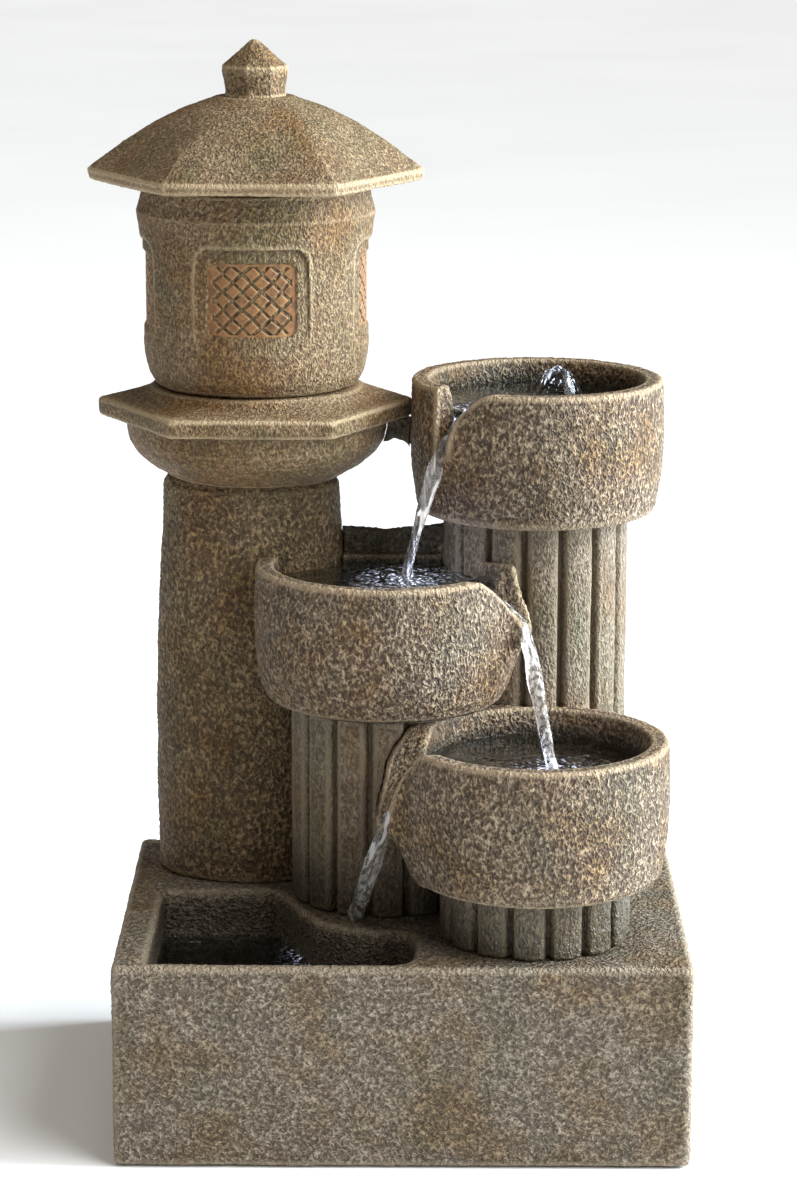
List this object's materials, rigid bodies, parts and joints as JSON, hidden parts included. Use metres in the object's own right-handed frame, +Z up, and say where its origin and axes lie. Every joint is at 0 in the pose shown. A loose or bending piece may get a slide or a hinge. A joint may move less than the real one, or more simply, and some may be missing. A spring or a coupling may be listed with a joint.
{
  "type": "tabletop water fountain",
  "caption": "Tabletop fountain: basin, stone-effect garden lantern on a post, and pouring bowls on reeded columns, fed by a pump in the basin.",
  "frame": {"origin": "centre of the base's underside, on the surface the fountain stands on", "axes": "+Z up, -Y towards the viewer (the front with the pool), +X to the viewer's right"},
  "size_m": [0.2371, 0.2033, 0.4158],
  "materials": {
    "stone": "hammered cast stone-effect resin, brown-grey with tan highlights on its ridges",
    "lantern_stone": "hammered cast stone-effect resin, warm tan with olive patina",
    "dark_stone": "dark cast stone-effect resin",
    "pump_plastic": "satin moulded plastic",
    "rubber": "soft black rubber",
    "clear_plastic": "clear flexible plastic",
    "steel": "laminated electrical steel",
    "copper": "enamelled copper winding",
    "ceramic": "ground white ceramic",
    "epoxy": "cast potting resin",
    "felt": "dense non-slip felt"
  },
  "bodies": {
    "fountain": {"base_shell": "stone", "lantern_post": "stone", "tall_column": "stone", "middle_column": "stone", "lower_column": "stone", "top_bowl": "stone", "middle_bowl": "stone", "lower_bowl": "stone", "lantern_platform": "lantern_stone", "lantern_firebox": "lantern_stone", "lantern_roof": "lantern_stone", "lantern_finial": "lantern_stone", "base_floor": "dark_stone", "back_web": "dark_stone", "platform_link": "dark_stone", "base_pad": "felt", "cable_grommet": "rubber", "led_middle_lead": "rubber", "led_lower_lead": "rubber", "led_pool_lead": "rubber", "pump_lead": "rubber", "nozzle_seal": "rubber", "suction_cup_1": "rubber", "suction_cup_2": "rubber", "suction_cup_3": "rubber", "suction_cup_4": "rubber", "rear_bush": "rubber", "led_middle_housing": "pump_plastic", "led_lower_housing": "pump_plastic", "led_pool_housing": "pump_plastic", "bowl_nozzle": "pump_plastic", "pump_body": "pump_plastic", "led_middle_lens": "clear_plastic", "led_lower_lens": "clear_plastic", "led_pool_lens": "clear_plastic", "hose": "clear_plastic", "stator_core": "steel", "stator_coil": "copper", "motor_potting": "epoxy", "impeller_shaft": "ceramic"},
    "access_door": {"access_door": "stone"},
    "drain_plug": {"drain_plug": "rubber"},
    "strainer_cover": {"strainer_cover": "pump_plastic", "front_bush": "rubber"},
    "flow_slider": {"flow_slider": "pump_plastic"},
    "impeller": {"impeller": "pump_plastic"}
  },
  "joints": [
    {"name": "impeller_spin", "type": "hinge", "parent": "fountain", "child": "impeller", "pos_m": [0.05, 0.045, 0.029], "axis": [1, 0, 0], "continuous": true},
    {"name": "cover_pull", "type": "slide", "parent": "fountain", "child": "strainer_cover", "axis": [-1, 0, 0], "range_m": [0, 0.022]},
    {"name": "flow_adjust", "type": "slide", "parent": "strainer_cover", "child": "flow_slider", "axis": [0, 0, 1], "range_m": [0, 0.012]},
    {"name": "door_pull", "type": "slide", "parent": "fountain", "child": "access_door", "axis": [0, 1, 0], "range_m": [0, 0.05]},
    {"name": "drain_pull", "type": "slide", "parent": "fountain", "child": "drain_plug", "axis": [0, 1, 0], "range_m": [0, 0.025]}
  ]
}
